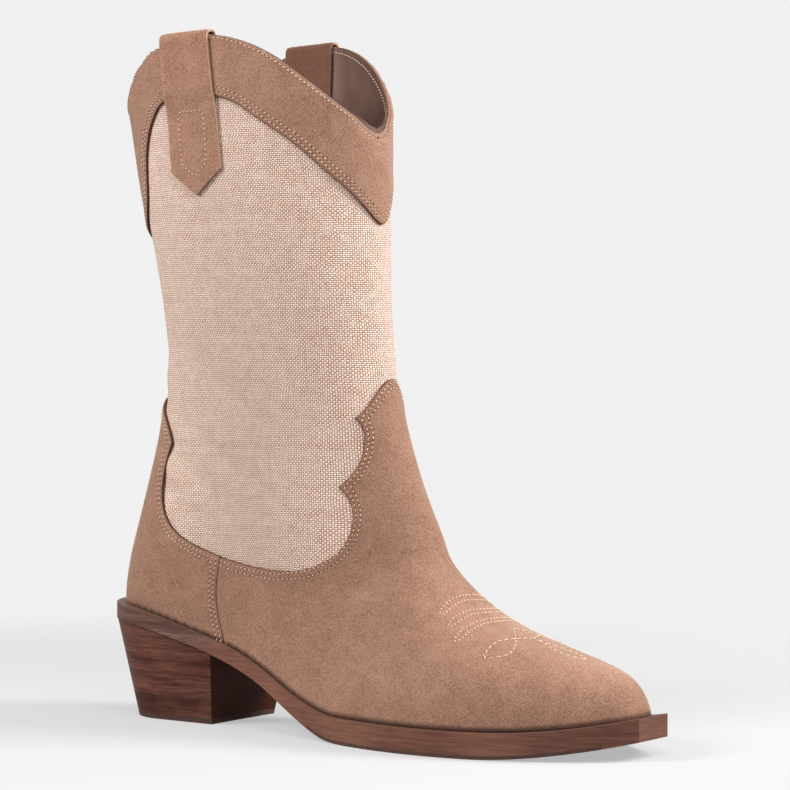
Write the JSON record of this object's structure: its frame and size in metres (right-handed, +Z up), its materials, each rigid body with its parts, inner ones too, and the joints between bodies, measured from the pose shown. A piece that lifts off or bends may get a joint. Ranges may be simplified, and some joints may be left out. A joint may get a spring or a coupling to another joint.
{
  "type": "cowboy boot",
  "caption": "Right-foot western boot with suede foot and scalloped collar, canvas shaft, leather lining, pull straps, squared pointed toe and stacked heel.",
  "frame": {"origin": "on the floor, under the centre of the heel seat's round end", "axes": "+X from heel to toe, +Y to the wearer's left, which is the medial side of this right boot, +Z up"},
  "size_m": [0.2796, 0.0993, 0.3103],
  "materials": {
    "suede": "short-napped taupe suede with soft colour clouds",
    "canvas": "coarse pinkish beige plain weave",
    "interlining": "plain cotton backing",
    "stiffener_board": "pressed fibre board",
    "cork_filler": "granulated cork",
    "lining_leather": "smooth grey-brown lining leather",
    "sole_leather": "stained and polished sole edge with fine lengthwise streaks",
    "heel_leather": "stacked leather with dark layer lines",
    "tread_rubber": "matte black rubber",
    "steel": "plain steel"
  },
  "bodies": {
    "root": {"vamp": "suede", "heel_foxing": "suede", "front_collar": "suede", "back_collar": "suede", "lateral_canvas_panel": "canvas", "medial_canvas_panel": "canvas", "topline_reinforcement": "interlining", "vamp_interlining": "interlining", "heel_stiffener": "stiffener_board", "toe_puff": "stiffener_board", "insole_board": "stiffener_board", "sole_filler": "cork_filler", "lateral_shaft_lining": "lining_leather", "medial_shaft_lining": "lining_leather", "vamp_lining": "lining_leather", "heel_lining": "lining_leather", "sock_liner": "lining_leather", "midsole": "sole_leather", "tread_layer": "tread_rubber", "heel_top_piece": "tread_rubber", "steel_shank": "steel", "shank_rivets": "steel", "heel_nails": "steel", "heel_screw": "steel", "top_piece_brads": "steel", "heel_lift_1": "heel_leather", "heel_lift_2": "heel_leather", "heel_lift_3": "heel_leather", "heel_lift_4": "heel_leather", "heel_lift_5": "heel_leather", "heel_lift_6": "heel_leather", "heel_lift_7": "heel_leather", "heel_lift_8": "heel_leather"},
    "lateral_strap": {"lateral_pull_strap": "suede"},
    "medial_strap": {"medial_pull_strap": "suede"}
  },
  "joints": [
    {"name": "lateral_strap_lift", "type": "slide", "parent": "root", "child": "lateral_strap", "axis": [-0.0499, -0.0539, 0.9973], "range_m": [0, 0.004]},
    {"name": "medial_strap_lift", "type": "slide", "parent": "root", "child": "medial_strap", "axis": [-0.0499, 0.0539, 0.9973], "range_m": [0, 0.004]}
  ]
}
